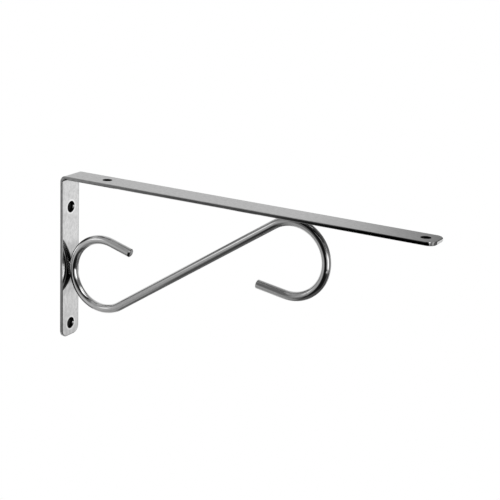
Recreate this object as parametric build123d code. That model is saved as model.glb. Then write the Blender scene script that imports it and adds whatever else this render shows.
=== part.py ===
from build123d import *
import os
from math import asin, atan2, degrees, hypot, sqrt

# Chrome-plated shelf bracket: a flat bar bent to a right angle, braced by an S-shaped scroll of round
# rod that is welded to the inside of both limbs. Millimetres and degrees. X runs out from the wall
# along the arm, Y across the bar and Z up. The wall is the plane X = 0.

# Flat bar
bar_width = 16.0
bar_thickness = 2.0
arm_length = 227.5
leg_height = 97.5
bend_inner_radius = 1.5
end_corner_radius = 4.5
bar_edge_break = 0.35

# Screw holes, sunk from the inside faces where the screw heads sit
screw_hole_diameter = 5.5
countersink_diameter = 6.8
countersink_angle = 90.0
end_hole_margin = 7.5
upper_wall_hole_drop = 19.5
first_shelf_hole_reach = 27.0

# Scroll rod
rod_diameter = 5.0
curl_inner_radius = 18.0
wall_curl_drop = 56.0
arm_curl_reach = 145.5
wall_curl_turn = 229.5
arm_curl_turn = 222.5
wall_tail_length = 13.8
arm_tail_length = 17.3
rod_end_chamfer = 0.4

# Welds: the rod sinks into the bar's face by the set-down, and the metal squeezed out rings it
weld_set_down = 0.2
weld_flash_width = 1.2
weld_flash_height = 0.7
weld_flash_taper = 30.0

# Places worked out from the sizes above. The origin is midway between the two wall screw holes.
shelf_face_z = (upper_wall_hole_drop + leg_height - end_hole_margin) / 2
leg_foot_z = shelf_face_z - leg_height
upper_wall_hole_z = shelf_face_z - upper_wall_hole_drop
lower_wall_hole_z = leg_foot_z + end_hole_margin
last_shelf_hole_reach = arm_length - end_hole_margin
leg_inner_x = bar_thickness
arm_under_z = shelf_face_z - bar_thickness

rod_radius = rod_diameter / 2
curl_radius = curl_inner_radius + rod_radius
curl_standoff = curl_radius + rod_radius - weld_set_down
wall_curl_centre = Vector(leg_inner_x + curl_standoff, shelf_face_z - wall_curl_drop)
arm_curl_centre = Vector(arm_curl_reach, arm_under_z - curl_standoff)

side_view = Plane.XZ
same_length = 0.001


def make_angle_bar():
    """The flat bar: bent square, its free ends rounded, its edges broken, its holes sunk."""
    outer_radius = bend_inner_radius + bar_thickness
    back_line = FilletPolyline((0, leg_foot_z), (0, shelf_face_z), (arm_length, shelf_face_z), radius=outer_radius)
    front_line = FilletPolyline(
        (arm_length, arm_under_z), (leg_inner_x, arm_under_z), (leg_inner_x, leg_foot_z), radius=bend_inner_radius
    )
    tip_line = Line(back_line @ 1, front_line @ 0)
    foot_line = Line(front_line @ 1, back_line @ 0)
    profile = make_face(back_line + tip_line + front_line + foot_line)
    bar = extrude(side_view * profile, amount=bar_width / 2, both=True)

    tip_corners = bar.edges().filter_by(Axis.Z).sort_by(Axis.X)[-2:]
    foot_corners = bar.edges().filter_by(Axis.X).sort_by(Axis.Z)[:2]
    bar = fillet(tip_corners + foot_corners, end_corner_radius)
    bar = chamfer(outline_edges(bar), bar_edge_break)

    hole = CounterSinkHole(
        screw_hole_diameter / 2, countersink_diameter / 2, depth=bar_thickness, counter_sink_angle=countersink_angle
    )
    leg_face = Plane(origin=(leg_inner_x, 0, 0), x_dir=(0, 1, 0), z_dir=(1, 0, 0))
    for height in (upper_wall_hole_z, lower_wall_hole_z):
        bar -= leg_face * Pos(0, height) * hole
    arm_underside = Plane(origin=(0, 0, arm_under_z), x_dir=(1, 0, 0), z_dir=(0, 0, -1))
    for reach in (first_shelf_hole_reach, last_shelf_hole_reach):
        bar -= arm_underside * Pos(reach, 0) * hole
    return bar


def outline_edges(bar):
    """The sharp edges all round the bar's two faces, without the smooth ones that cross it."""
    across = bar.edges().filter_by(Axis.Y)
    bend_lines = across.filter_by(lambda edge: edge.length > bar_width - end_corner_radius)
    straight = bar.edges().filter_by(GeomType.LINE)
    corner_seams = straight.filter_by(lambda edge: abs(edge.length - bar_thickness) < same_length)
    return bar.edges() - bend_lines - corner_seams


def scroll_path():
    """The rod's centre line seen from the side: tail, wall curl, straight brace, arm curl, tail."""
    between = arm_curl_centre - wall_curl_centre
    brace_angle = degrees(atan2(between.Y, between.X) + asin(2 * curl_radius / hypot(between.X, between.Y)))
    wall_curl = CenterArc(wall_curl_centre, curl_radius, brace_angle - 90 - wall_curl_turn, wall_curl_turn)
    arm_curl = CenterArc(arm_curl_centre, curl_radius, brace_angle + 90, -arm_curl_turn)
    wall_tail = Line(wall_curl @ 0 - wall_tail_length * (wall_curl % 0), wall_curl @ 0)
    brace = Line(wall_curl @ 1, arm_curl @ 0)
    arm_tail = Line(arm_curl @ 1, arm_curl @ 1 + arm_tail_length * (arm_curl % 1))
    return side_view * (wall_tail + wall_curl + brace + arm_curl + arm_tail)


def make_scroll_rod(bar):
    """The round rod bent to an S, with eased ends and a flat where it seats on each limb."""
    path = scroll_path()
    section = Plane(origin=path @ 0, z_dir=path % 0) * Circle(rod_radius)
    rod = sweep(section, path=path)
    cut_ends = rod.faces().filter_by(GeomType.PLANE)
    rod = chamfer(cut_ends.edges(), rod_end_chamfer)
    return rod - bar


def make_weld(seat, rod, bar):
    """The ring of metal round one seat: a low tapered pad with the rod and the bar cut out of it."""
    flat_half_width = sqrt(rod_radius**2 - (rod_radius - weld_set_down) ** 2)
    outer_curl = curl_radius + rod_radius
    flat_half_length = sqrt(outer_curl**2 - (outer_curl - weld_set_down) ** 2)
    half_length = flat_half_length + weld_flash_width
    half_width = flat_half_width + weld_flash_width
    pad = extrude(SlotOverall(2 * half_length, 2 * half_width), amount=weld_flash_height, taper=weld_flash_taper)
    return seat * pad - rod - bar


angle_bar = make_angle_bar()
scroll_rod = make_scroll_rod(angle_bar)
wall_seat = Plane(origin=(leg_inner_x, 0, wall_curl_centre.Y), x_dir=(0, 0, 1), z_dir=(1, 0, 0))
arm_seat = Plane(origin=(arm_curl_centre.X, 0, arm_under_z), x_dir=(1, 0, 0), z_dir=(0, 0, -1))
wall_weld = make_weld(wall_seat, scroll_rod, angle_bar)
arm_weld = make_weld(arm_seat, scroll_rod, angle_bar)

pieces = {
    "angle_bar": angle_bar,
    "scroll_rod": scroll_rod,
    "wall_weld": wall_weld,
    "arm_weld": arm_weld,
}
os.makedirs("parts", exist_ok=True)
for name, piece in pieces.items():
    export_step(piece, f"parts/{name}.step")
    print(name, [round(size, 3) for size in piece.bounding_box().size], round(piece.volume, 2))
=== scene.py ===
from math import asin, atan2, cos, pi, radians, sin

import bmesh
import bpy
from mathutils import Matrix, Vector


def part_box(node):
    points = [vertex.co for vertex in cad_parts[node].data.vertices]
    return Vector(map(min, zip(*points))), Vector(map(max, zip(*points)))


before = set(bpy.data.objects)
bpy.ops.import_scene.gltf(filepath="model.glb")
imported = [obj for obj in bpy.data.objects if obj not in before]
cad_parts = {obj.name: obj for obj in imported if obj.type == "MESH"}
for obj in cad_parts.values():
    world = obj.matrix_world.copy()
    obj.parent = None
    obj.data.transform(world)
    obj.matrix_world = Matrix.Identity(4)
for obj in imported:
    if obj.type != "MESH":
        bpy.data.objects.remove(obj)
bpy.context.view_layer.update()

MM = 0.001
bar_low, bar_high = (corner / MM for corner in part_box("angle_bar"))
rod_low, rod_high = (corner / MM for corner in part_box("scroll_rod"))

# The same sizes as the CAD, in millimetres. The leg's inside face is at X = bar_thickness.
bar_half_width = bar_high.y
bar_thickness = 2.0
shelf_face = bar_high.z
arm_underside = shelf_face - bar_thickness
arm_tip = bar_high.x
end_corner_radius = 4.5
hole_radius = 2.75
countersink_radius = 3.4
end_hole_margin = 7.5
upper_wall_hole_drop = 19.5
first_shelf_hole_reach = 27.0
wall_hole_heights = (shelf_face - upper_wall_hole_drop, bar_low.z + end_hole_margin)
shelf_hole_reaches = (first_shelf_hole_reach, arm_tip - end_hole_margin)

rod_radius = 2.5
curl_radius = 20.5
weld_set_down = 0.2
curl_reach = curl_radius + rod_radius
wall_curl = Vector((bar_thickness + curl_reach - weld_set_down, rod_low.z + curl_reach))
arm_curl = Vector((rod_high.x - curl_reach, arm_underside - curl_reach + weld_set_down))

# The brace runs straight between the curls, and the tail on the wall side runs straight out of its curl
wall_curl_turn = 229.5
wall_tail_length = 13.8
between_curls = arm_curl - wall_curl
brace_angle = atan2(between_curls.y, between_curls.x) + asin(2 * curl_radius / between_curls.length)
brace_way = Vector((cos(brace_angle), sin(brace_angle)))
brace_start = wall_curl + curl_radius * Vector((brace_way.y, -brace_way.x))
brace_length = (between_curls.length**2 - (2 * curl_radius) ** 2) ** 0.5
tail_turn = brace_angle - pi / 2 - radians(wall_curl_turn)
wall_tail_way = Vector((sin(tail_turn), -cos(tail_turn)))
wall_tail_start = wall_curl + curl_radius * Vector((cos(tail_turn), sin(tail_turn)))
wall_tail_end = wall_tail_start + wall_tail_length * wall_tail_way

# How much light clean plating mirrors
plating_level = 0.70

# The camera: where it looks from, in degrees, how far it stands from the middle of the bracket, and
# how far it is shifted so that the bracket has its place in the picture
picture_side = 500
view_azimuth = 28.645
view_elevation = 16.351
view_roll = 2.383
view_distance = 769.0 * MM
pixels_per_mm = 1.851
view_middle = Vector((120.0, 0.0, 14.75)) * MM
view_shift_right = -0.767 * MM
view_shift_up = -14.949 * MM


class Amount:
    """A shader socket used as a number: each sum on it adds a Math node."""

    def __init__(self, finish, socket):
        self.finish = finish
        self.socket = socket

    def math(self, operation, *others):
        return self.finish.add("Math", {"operation": operation}, [self, *others])

    def __add__(self, other):
        return self.math("ADD", other)

    def __sub__(self, other):
        return self.math("SUBTRACT", other)

    def __mul__(self, other):
        return self.math("MULTIPLY", other)

    def __rsub__(self, other):
        return self.finish.add("Math", {"operation": "SUBTRACT"}, [other, self])

    __radd__ = __add__
    __rmul__ = __mul__

    def over(self, low, high):
        """0 below low, 1 above high, and smooth between them."""
        settings = {"interpolation_type": "SMOOTHSTEP"}
        return self.finish.add("MapRange", settings, {"Value": self, "From Min": low, "From Max": high})

    def under(self, low, high):
        return 1 - self.over(low, high)

    def size(self):
        return self.math("ABSOLUTE")

    def least(self, other):
        return self.math("MINIMUM", other)

    def most(self, other):
        return self.math("MAXIMUM", other)

    def root(self):
        return self.math("SQRT")


class Finish:
    """A node tree being filled: add() makes any node and gives one of its outputs as an Amount."""

    def __init__(self, tree):
        self.tree = tree
        tree.nodes.clear()

    def add(self, kind, settings=None, inputs=None, output=0):
        node = self.tree.nodes.new("ShaderNode" + kind)
        for name, value in (settings or {}).items():
            setattr(node, name, value)
        pairs = enumerate(inputs) if isinstance(inputs, list) else (inputs or {}).items()
        for key, value in pairs:
            if isinstance(value, Amount):
                self.tree.links.new(value.socket, node.inputs[key])
            else:
                node.inputs[key].default_value = value
        return Amount(self, node.outputs[output]) if node.outputs else None

    def parts_of(self, vector):
        node = self.add("SeparateXYZ", inputs={"Vector": vector}).socket.node
        return [Amount(self, socket) for socket in node.outputs]

    def vector(self, x, y, z):
        return self.add("CombineXYZ", inputs=[x, y, z])

    def speckle(self, x, y, z, detail=2.0, roughness=0.5):
        inputs = {"Vector": self.vector(x, y, z), "Scale": 1.0, "Detail": detail, "Roughness": roughness}
        return self.add("TexNoise", inputs=inputs, output="Fac")

    def emission(self, colour):
        return self.add("Emission", inputs={"Color": colour, "Strength": 1.0})

    def see_through(self):
        return self.add("BsdfTransparent", inputs={"Color": grey(1.0)})

    def show(self, shader, target="OutputMaterial"):
        self.add(target, inputs={"Surface": shader})


def grey(level):
    return (level, level, level, 1.0)


def new_material(name):
    material = bpy.data.materials.new(name)
    material.use_nodes = True
    return material, Finish(material.node_tree)


def place_in_mm(finish):
    """Where a point is on the bracket, as three Amounts in millimetres."""
    object_place = finish.add("TexCoord", output="Object")
    return [part * (1 / MM) for part in finish.parts_of(object_place)]


def length_of(first, second):
    """How long the slanting side over two Amounts at right angles is."""
    return (first * first + second * second).root()


def distance_from(middle, x, z):
    return length_of(x - middle.x, z - middle.y)


# The studio that the plating mirrors: a dome round the bracket, with cards of even light on it. A card
# is given by its middle and half size in degrees: azimuth from straight behind the bracket towards the
# arm's end, and elevation. A later card lies over an earlier one. Most rows are the rounded result of a
# scratch fit to the tones that the plating shows in the photo. The last three dark cards, behind_low,
# the window and the far cards were set one by one.
dome_radius = 500 * MM
dome_middle = Vector((110.0, 0.0, 14.75)) * MM
dome_subdivisions = 5
studio_fill = 0.15
studio_cards = (
    # name, azimuth, elevation, half width, half height, soft edge, level
    ("table_left", -163, -81, 60, 30, 16, 0.075),
    ("table_right", 104, -63, 75, 59, 12, 0.085),
    ("ceiling", 5, 87, 142, 25, 8, 0.43),
    ("left_side", -93, -4, 61, 67, 10, 0.33),
    ("left_side_top", -74, 22, 24, 28, 10, 0.05),
    ("front_left_low", -134, -10, 23, 17, 9, 0.42),
    ("front_left_card", -130, 13, 8, 6, 14, 1.25),
    ("back_left_wall", -46, -20, 35, 39, 3, 0.78),
    ("back_left_top", -28, 28, 33, 19, 5, 0.60),
    ("behind_low", -12, -44, 28, 27, 4, 0.14),
    ("back_right_low", 24, -16, 14, 15, 16, 0.89),
    ("back_right_top", 31, 20, 41, 19, 16, 0.13),
    ("right_side", 79, -6, 23, 17, 10, 0.28),
    ("strip_light", 107, -5, 15, 15, 16, 1.4),
    ("strip_light_top", 98, 66, 53, 26, 16, 1.3),
    ("right_front", 135, -11, 23, 12, 4, 1.05),
    ("dark_side", 159, 13, 26, 30, 15, 0.008),
    ("dark_table", 150, -42, 44, 16, 10, 0.013),
    ("dark_below_camera", 166, -22, 28, 18, 10, 0.008),
    ("dark_above_camera", 174, 47, 17, 25, 8, 0.005),
)

# Both curls mirror the two lights on the right from nearly the same direction, so those lights are far
# away. A window in the near dome, given like a card, opens on a far dome that carries them.
far_window = (125, -8, 33, 13, 6)
far_dome_radius = 3000 * MM
far_fill = 0.01
far_cards = (
    ("far_right_front", 130, -8, 14, 12, 5, 0.5),
    ("far_strip_light", 106, -5, 13, 17, 6, 1.5),
)


def card_mask(direction, azimuth, elevation, half_width, half_height, soft):
    """1 on a card, 0 off it, and smooth over its soft edge."""
    x, y, z = direction
    turn = radians(azimuth)
    ahead = y * cos(turn) + x * sin(turn)
    aside = x * cos(turn) - y * sin(turn)
    across = aside.math("ARCTAN2", ahead).size()
    height = (z.math("ARCSINE") - radians(elevation)).size()
    near_side = across.under(radians(half_width - soft / 2), radians(half_width + soft / 2))
    near_height = height.under(radians(half_height - soft / 2), radians(half_height + soft / 2))
    return near_side * near_height


def raise_dome(dome_name, radius, fill, cards, window=None):
    """A dome is seen in the plating alone: the camera and the floor look through it."""
    material, studio = new_material(dome_name + "_light")
    place = studio.add("TexCoord", output="Object")
    direction = studio.parts_of(studio.add("VectorMath", {"operation": "NORMALIZE"}, [place]))
    light = fill
    for _, *card, level in cards:
        mask = card_mask(direction, *card)
        light = mask * level + (1 - mask) * light
    glow = studio.emission(studio.vector(light, light, light))
    if window:
        opening = card_mask(direction, *window)
        glow = studio.add("MixShader", inputs=[opening, glow, studio.see_through()])
    studio.show(glow)
    shell = bmesh.new()
    bmesh.ops.create_icosphere(shell, subdivisions=dome_subdivisions, radius=radius)
    mesh = bpy.data.meshes.new(dome_name)
    shell.to_mesh(mesh)
    shell.free()
    dome = stage_piece(dome_name, mesh, material)
    dome.location = dome_middle
    dome.visible_camera = False
    dome.visible_diffuse = False
    dome.visible_transmission = False
    dome.visible_shadow = False


def light_backdrop():
    world = bpy.data.worlds.new("white_backdrop")
    bpy.context.scene.world = world
    world.use_nodes = True
    sky = Finish(world.node_tree)
    sky.show(sky.add("Background", inputs={"Color": grey(1.0), "Strength": 1.0}), "OutputWorld")


def lay_floor():
    """A matt floor far below the bracket, which the camera sees as plain white."""
    half_side = 4.0
    depth = 1.3
    material, finish = new_material("pale_floor")
    matt = finish.add("BsdfDiffuse", inputs={"Color": grey(0.8)})
    glow = finish.emission(grey(1.0))
    camera_ray = finish.add("LightPath", output="Is Camera Ray")
    finish.show(finish.add("MixShader", inputs=[camera_ray, matt, glow]))
    ways = ((-1, -1), (1, -1), (1, 1), (-1, 1))
    corners = [(x * half_side, y * half_side, -depth) for x, y in ways]
    floor = stage_faces("floor", corners, material)
    floor.visible_glossy = False


def hang_dark_behind_wall_holes():
    """The wall holes show dark: a dark disc in each, which the back view looks through."""
    disc_depth = 0.05 * MM
    disc_radius = hole_radius * MM
    sides = 48
    material, finish = new_material("dark_backdrop")
    dark = finish.add("BsdfDiffuse", inputs={"Color": grey(0.02)})
    from_behind = finish.add("NewGeometry", output="Backfacing")
    finish.show(finish.add("MixShader", inputs=[from_behind, dark, finish.see_through()]))
    turns = [2 * pi * step / sides for step in range(sides)]
    for number, height in enumerate(wall_hole_heights):
        middle = height * MM
        rim = [(disc_depth, disc_radius * cos(turn), middle + disc_radius * sin(turn)) for turn in turns]
        stage_faces(f"dark_backdrop_{number}", rim, material)


def stage_faces(name, corners, material):
    """One flat face for the stage."""
    mesh = bpy.data.meshes.new(name)
    mesh.from_pydata(corners, [], [tuple(range(len(corners)))])
    return stage_piece(name, mesh, material)


def stage_piece(name, mesh, material):
    mesh.materials.append(material)
    piece = bpy.data.objects.new(name, mesh)
    bpy.context.scene.collection.objects.link(piece)
    return piece


def place_camera():
    azimuth, elevation, roll = (radians(angle) for angle in (view_azimuth, view_elevation, view_roll))
    back = Vector((sin(azimuth) * cos(elevation), -cos(azimuth) * cos(elevation), sin(elevation)))
    level_right = Vector((cos(azimuth), sin(azimuth), 0.0))
    level_up = back.cross(level_right)
    right = cos(roll) * level_right + sin(roll) * level_up
    up = cos(roll) * level_up - sin(roll) * level_right
    lens = bpy.data.cameras.new("camera")
    lens.sensor_fit = "HORIZONTAL"
    lens.lens = pixels_per_mm * view_distance / MM / picture_side * lens.sensor_width
    lens.clip_start = 10 * MM
    camera = bpy.data.objects.new("camera", lens)
    bpy.context.scene.collection.objects.link(camera)
    place = view_middle - view_shift_right * right - view_shift_up * up + view_distance * back
    camera.matrix_world = Matrix.Translation(place) @ Matrix((right, up, back)).transposed().to_4x4()
    bpy.context.scene.camera = camera


def chrome(finish, shade, roughness, waves, wave_height):
    """Bright plating: shade 1 is clean, less is darker, for dull spots and for painted shade; waves make
    the mirrored lines wander.
    """
    shares = {"Factor": shade * plating_level, 6: grey(0.0), 7: grey(1.0)}
    colour = finish.add("Mix", {"data_type": "RGBA"}, shares, 2)
    bump = {"Height": waves, "Distance": wave_height * MM, "Strength": 1.0}
    normal = finish.add("Bump", inputs=bump)
    coat = {"Base Color": colour, "Metallic": 1.0, "Roughness": roughness, "Normal": normal}
    return finish.add("BsdfPrincipled", inputs=coat)


# The masks below paint tones that the plating shows in the photo and that the cards alone didn't give.
# They are painted reflection, painted highlight and painted shade, and they stay in place under other
# light.
def bar_plating():
    """Polished and plated flat bar: rolling lines along it, with painted shade on the front edge and in
    the bores.
    """
    material, finish = new_material("bar_plating")
    x, y, z = place_in_mm(finish)
    under_skin = x.least(shelf_face - z)
    along = x - z
    rolling = finish.speckle(along * 0.012, y * 0.9, under_skin * 0.9, 3.0, 0.6)
    polish = finish.speckle(along * 0.45, y * 0.8, under_skin * 0.8, 2.0, 0.7)
    cloud = finish.speckle(x * 0.06, y * 0.12, z * 0.06, 3.0, 0.55)
    shade = 0.53 + 0.16 * rolling + 0.76 * polish + 0.04 * cloud

    # Painted shade: the front edge is darkened in place of the dark that it mirrors
    front_edge_shade = front_edge_painted_shade(x, y, z)
    # Painted shadow in the inner bend
    bend = inner_bend_shadow(x, y, z)
    # Painted shade inside the screw holes
    shaded_bores = bore_painted_shade(x, y, z)
    # Painted reflection: darker near the arm's tip, and a little darker on the lower leg
    near_arm_tip = x.over(140.0, 190.0) * x.under(200.0, 225.0)
    lower_leg = z.under(-25.0, -5.0)
    # Painted shade on the far rims as well
    shade = shade * (1 - front_edge_shade) * (1 - bend) * (1 - 0.98 * shaded_bores) * (1 - 0.3 * rim_painted_shade(x, y, z))
    shade = shade * (1 - 0.2 * near_arm_tip) * (1 - 0.07 * lower_leg)
    # Painted shade round the weld, and painted highlight rings round the leg's holes
    shade = shade * (1 - weld_painted_shade(x, y, z)) * (1 + 0.3 * painted_mouth_rings(x, y, z))
    # Painted glints in the leg's sunk mouths
    shade = shade * (1 + 0.45 * mouth_glints(x, y, z))

    roughness = 0.02 + 0.04 * cloud + 0.03 * polish + 0.3 * shaded_bores
    waves = 0.7 * finish.speckle(along * 0.02, y * 0.16, under_skin * 0.3, 1.0) + 0.02 * polish
    finish.show(chrome(finish, shade, roughness, waves, 0.12))
    return material


def front_edge_painted_shade(x, y, z):
    """Painted shade on the edge that faces the front, standing in for the dark it mirrors, most towards
    the arm's end.
    """
    front = -bar_half_width
    front_edge = y.under(front + 0.03, front + 0.10)
    on_arm = z.over(arm_underside - 1.5, arm_underside)
    arm_bright = 0.75 * x.under(-60.0, 90.0) + 0.2 * x.under(100.0, 200.0)
    edge_painted_shade = front_edge * (1 - 0.55 * (1 - on_arm) - arm_bright * on_arm)
    edge_break = y.under(front + 0.25, front + 0.40) * on_arm
    break_painted_shade = 0.65 * edge_break * x.over(110.0, 190.0)
    return edge_painted_shade.most(break_painted_shade).most(tip_corner_painted_shade(x, y))


def tip_corner_painted_shade(x, y):
    """Painted reflection round the front corner at the arm's end: the edge is darkened but for one line
    left bright as a painted glint.
    """
    corner_x = x - (arm_tip - end_corner_radius)
    corner_y = y + (bar_half_width - end_corner_radius)
    round_edge = length_of(corner_x, corner_y).over(end_corner_radius - 0.5, end_corner_radius - 0.4)
    round_edge = round_edge * corner_x.over(0.0, 0.1) * corner_y.under(-0.1, 0.0)
    painted_glint_line = corner_x.over(1.6, 1.8) * corner_x.under(2.3, 2.5)
    first_part = corner_x.under(1.6, 1.9)
    middle_part = corner_x.over(1.6, 1.9) * corner_x.under(3.1, 3.6)
    last_part = corner_x.over(3.1, 3.6)
    return round_edge * (1 - painted_glint_line) * (0.97 * first_part + 0.8 * middle_part + 0.6 * last_part)


def rim_painted_shade(x, y, z):
    """Painted shade: the leg's far edge and foot and the arm's far edge are darker than the faces."""
    beside = (y.most(0.0) - (bar_half_width - end_corner_radius)).most(0.0)
    below = (bar_low.z + end_corner_radius - z).most(0.0)
    on_leg_face = x.over(bar_thickness - 0.5, bar_thickness - 0.4)
    on_leg_face = on_leg_face * x.under(bar_thickness + 0.5, bar_thickness + 1)
    leg_rim = on_leg_face * length_of(beside, below).over(end_corner_radius - 0.9, end_corner_radius - 0.6)
    on_shelf_face = z.over(shelf_face - 0.5, shelf_face - 0.4)
    arm_rim = y.over(bar_half_width - 1.0, bar_half_width - 0.6) * on_shelf_face
    return leg_rim.most(0.6 * arm_rim)


def weld_painted_shade(x, y, z):
    """Painted shade on the leg's inside face round the weld, and a painted highlight along its front rim
    there.
    """
    above_weld = z - wall_curl.y
    shade_round_weld = 0.2 * above_weld.size().under(13.0, 18.0) + 0.4 * above_weld.size().under(6.5, 10.5)
    front_rim = y.under(-6.6, -6.0) * (above_weld + 1.0).size().under(2.5, 6.5)
    on_leg_face = x.over(bar_thickness - 0.5, bar_thickness - 0.4)
    on_leg_face = on_leg_face * x.under(bar_thickness + 1, bar_thickness + 2)
    return on_leg_face * (shade_round_weld * (1 - front_rim) - 0.35 * front_rim)


def painted_mouth_rings(x, y, z):
    """A painted highlight: a bright ring round each hole in the leg."""
    rings = 0
    for height in wall_hole_heights:
        from_axis = length_of(y, z - height)
        ring = from_axis.over(countersink_radius + 0.1, countersink_radius + 0.2)
        rings = ring * from_axis.under(countersink_radius + 0.7, countersink_radius + 1.1) + rings
    on_leg_face = x.over(bar_thickness - 0.06, bar_thickness - 0.03)
    return on_leg_face * x.under(bar_thickness + 0.5, bar_thickness + 1) * rings


def inner_bend_shadow(x, y, z):
    """Painted shadow: a dark line along the inner bend, darkest near the front, where it ends in a dark
    spot.
    """
    in_bend = x.over(bar_thickness + 0.03, bar_thickness + 0.2)
    in_bend = in_bend * x.under(bar_thickness + 1.6, bar_thickness + 2.2)
    near_arm = z.over(arm_underside - 1.8, arm_underside - 1.3)
    below_top = z.under(arm_underside + 0.1, arm_underside + 0.4)
    line = 0.3 + 0.65 * y.over(-7.4, -7.0) * y.under(-4.5, -3.5)
    past_bend = x.over(bar_thickness + 0.8, bar_thickness + 1.2)
    past_bend = past_bend * x.under(bar_thickness + 2.8, bar_thickness + 3.4)
    dark_end_spot = past_bend * y.under(-7.6, -7.4) * z.under(arm_underside + 0.6, arm_underside + 1)
    return near_arm * (in_bend * below_top * line).most(0.75 * dark_end_spot)


def bore_painted_shade(x, y, z):
    """Painted shade: 1 inside the screw holes, which are darkened but for the leg's two painted glints."""
    leg_bores = 0
    for height in wall_hole_heights:
        from_axis = length_of(y, z - height)
        leg_bores = from_axis.under(countersink_radius + 0.1, countersink_radius + 0.2) + leg_bores
    arm_bores = 0
    for reach in shelf_hole_reaches:
        from_axis = length_of(y, x - reach)
        arm_bores = from_axis.under(hole_radius + 0.02, hole_radius + 0.10) + arm_bores
    below_leg_face = x.under(bar_thickness - 0.08, bar_thickness - 0.04)
    above_arm_mouth = z.over(arm_underside + 0.6, arm_underside + 0.7)
    dark_in_leg = leg_bores * below_leg_face * (1 - mouth_glints(x, y, z))
    return dark_in_leg.most(arm_bores * above_arm_mouth)


def mouth_glints(x, y, z):
    """Painted glint: 1 on a bright stretch of each sunk mouth in the leg, on the far side of the hole."""
    in_mouth = x.over(0.8, 1.0) * x.under(bar_thickness - 0.02, bar_thickness - 0.01)
    on_far_side = y.over(1.5, 1.9) * y.under(countersink_radius + 0.1, countersink_radius + 0.2)
    glints = 0
    for height in wall_hole_heights:
        glints = (z - height + 0.5).size().under(0.7, 1.1) + glints
    return in_mouth * on_far_side * glints


def rod_plating():
    """Drawn and plated rod: fine lines along it, a painted lighter reflection at the wall end and painted
    shade on dark stretches there.
    """
    material, finish = new_material("rod_plating")
    x, y, z = place_in_mm(finish)
    beside = across_rod(x, z)
    drawn = finish.speckle(beside * 1.1, y * 1.1, (x + z) * 0.010, 3.0, 0.6)
    fine = finish.speckle(beside * 1.2, y * 1.2, (x + z) * 0.45, 2.0, 0.7)
    cloud = finish.speckle(x * 0.09, y * 0.2, z * 0.09, 3.0, 0.55)
    shade = 0.65 + 0.18 * drawn + 0.55 * fine + 0.04 * cloud

    # Painted reflection and shade: the wall curl's end lighter, and its wall side, its inner side and a
    # patch on its upper front darker
    above_curl_middle = z - wall_curl.y
    wall_curl_end = x.under(12.0, 50.0)
    wall_side = beside.over(1.2, 2.2) * x.under(12.0, 18.0)
    upper_front_shade = beside.over(0.9, 1.5) * x.over(7.5, 10.0) * x.under(14.0, 17.0)
    upper_front_shade = upper_front_shade * above_curl_middle.over(5.0, 8.0) * y.under(-1.0, -0.6)
    inner_side = beside.under(-1.2, -0.2) * above_curl_middle.over(8.0, 14.0) * x.under(50.0, 55.0)
    shade = shade * (1 - 0.96 * dark_cut(x, y, z)) * (1 + 0.28 * wall_curl_end) * (1 - 0.7 * wall_side)
    shade = shade * (1 - 0.75 * upper_front_shade) * (1 - 0.38 * inner_side)

    roughness = 0.02 + 0.03 * cloud + 0.03 * fine
    waves = 0.5 * finish.speckle(beside * 0.25, y * 0.25, (x + z) * 0.03, 1.0) + 0.02 * fine
    finish.show(chrome(finish, shade, roughness, waves, 0.06))
    return material


def across_rod(x, z):
    """How far a point lies beside the rod's centre line, seen from the side: outside the wall curl,
    below the brace and inside the arm curl it is more than 0."""
    ahead = (x - brace_start.x) * brace_way.x + (z - brace_start.y) * brace_way.y
    beside = (x - brace_start.x) * brace_way.y - (z - brace_start.y) * brace_way.x
    past_start = ahead.over(-1.0, 1.0)
    past_end = ahead.over(brace_length - 1.0, brace_length + 1.0)
    first_part = (distance_from(wall_curl, x, z) - curl_radius) * (1 - past_start) + beside * past_start
    whole = first_part * (1 - past_end) + (curl_radius - distance_from(arm_curl, x, z)) * past_end
    on_upper_half = (z - wall_curl.y).over(2.0, 3.0) * x.under(50.0, 55.0)
    return across_upper_half(x, z) * on_upper_half + whole * (1 - on_upper_half)


def across_upper_half(x, z):
    """The same on the wall curl's upper half and on its straight tail."""
    beside_tail = (x - wall_tail_end.x) * cos(tail_turn) + (z - wall_tail_end.y) * sin(tail_turn)
    on_tail = past_tail_end(x, z).over(-0.5 - wall_tail_length, 0.5 - wall_tail_length)
    return beside_tail * on_tail + (distance_from(wall_curl, x, z) - curl_radius) * (1 - on_tail)


def past_tail_end(x, z):
    """How far a point lies past the wall tail's cut end, along the tail."""
    return (x - wall_tail_end.x) * wall_tail_way.x + (z - wall_tail_end.y) * wall_tail_way.y


def dark_cut(x, y, z):
    """Painted shade: the side of the wall tail's cut end that is darkened."""
    on_cut = past_tail_end(x, z).over(-0.9, -0.7) * distance_from(wall_tail_end, x, z).under(3.2, 3.6)
    return on_cut * y.under(-1.1, -0.6) * (z - wall_tail_end.y).under(1.0, 1.4)


def weld_plating(name):
    """Plating over the weld: a little duller, with small ripples."""
    material, finish = new_material(name)
    x, y, z = place_in_mm(finish)
    ripple = finish.speckle(x * 1.2, y * 1.2, z * 1.2, 3.0, 0.6)
    shade = 0.72 + 0.3 * ripple
    roughness = 0.10 + 0.15 * ripple
    finish.show(chrome(finish, shade, roughness, ripple, 0.15))
    return material


def dress(node, material):
    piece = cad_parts[node]
    piece.data.materials.clear()
    piece.data.materials.append(material)


bpy.context.scene.view_settings.view_transform = "Standard"
place_camera()
light_backdrop()
raise_dome("studio_dome", dome_radius, studio_fill, studio_cards, far_window)
raise_dome("far_dome", far_dome_radius, far_fill, far_cards)
lay_floor()
hang_dark_behind_wall_holes()
dress("angle_bar", bar_plating())
dress("scroll_rod", rod_plating())
dress("wall_weld", weld_plating("wall_weld_plating"))
dress("arm_weld", weld_plating("arm_weld_plating"))
